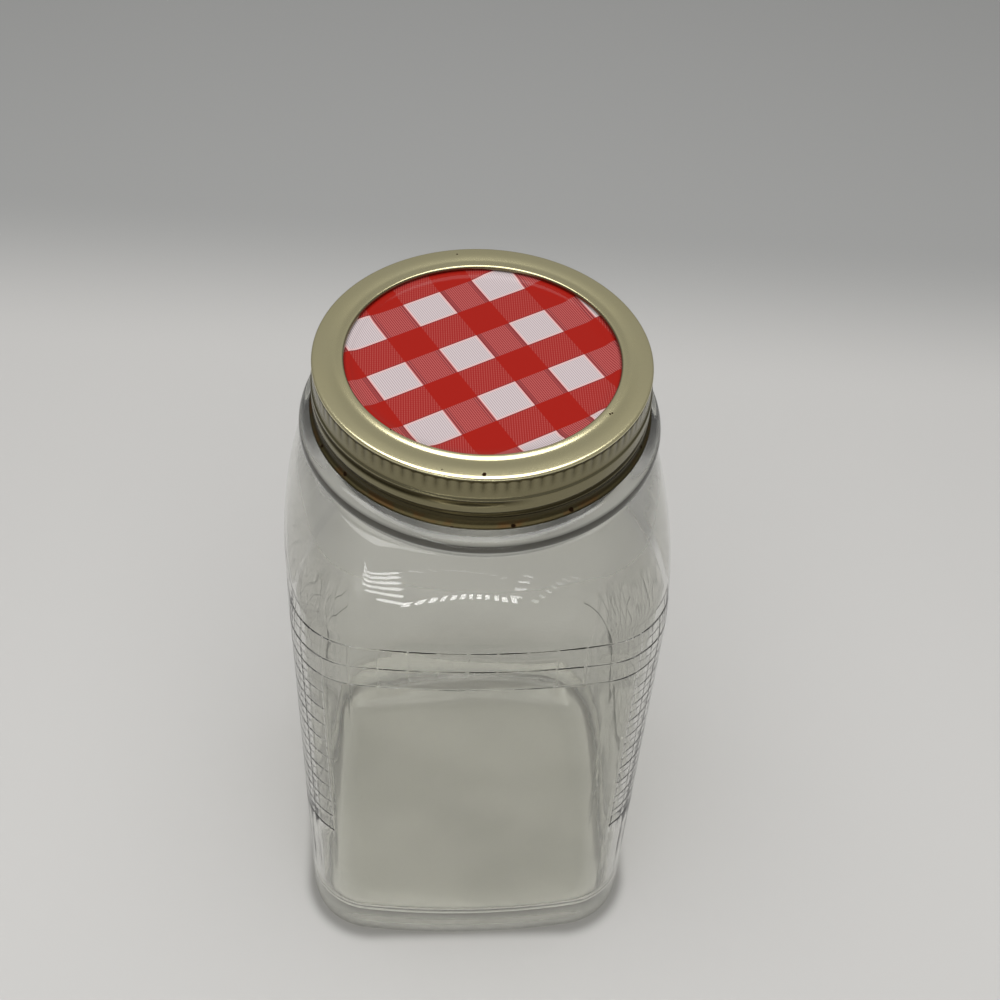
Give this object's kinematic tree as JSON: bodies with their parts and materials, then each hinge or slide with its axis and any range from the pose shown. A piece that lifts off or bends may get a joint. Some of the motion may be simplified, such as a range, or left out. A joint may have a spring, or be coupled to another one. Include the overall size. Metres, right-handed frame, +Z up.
{
  "type": "glass storage jar",
  "caption": "Square clear glass storage jar with a belt and sides of pressed tiles, plain label panels, and a screw band holding a red and white gingham lid disc.",
  "frame": {"origin": "centre of the base, on the surface the jar stands on", "axes": "+Z up through the lid, -Y towards the front label panel, +X to the right seen from the front"},
  "size_m": [0.108, 0.108, 0.2137],
  "materials": {
    "glass": "clear pressed glass with a faint grey-green tint",
    "band": "pale brass-tone lacquered tinplate, satin, with a few rust specks",
    "disc": "tinplate printed in red and white gingham, glossy"
  },
  "bodies": {
    "root": {"glass_jar": "glass", "screw_band": "band", "lid_disc": "disc"}
  },
  "joints": []
}
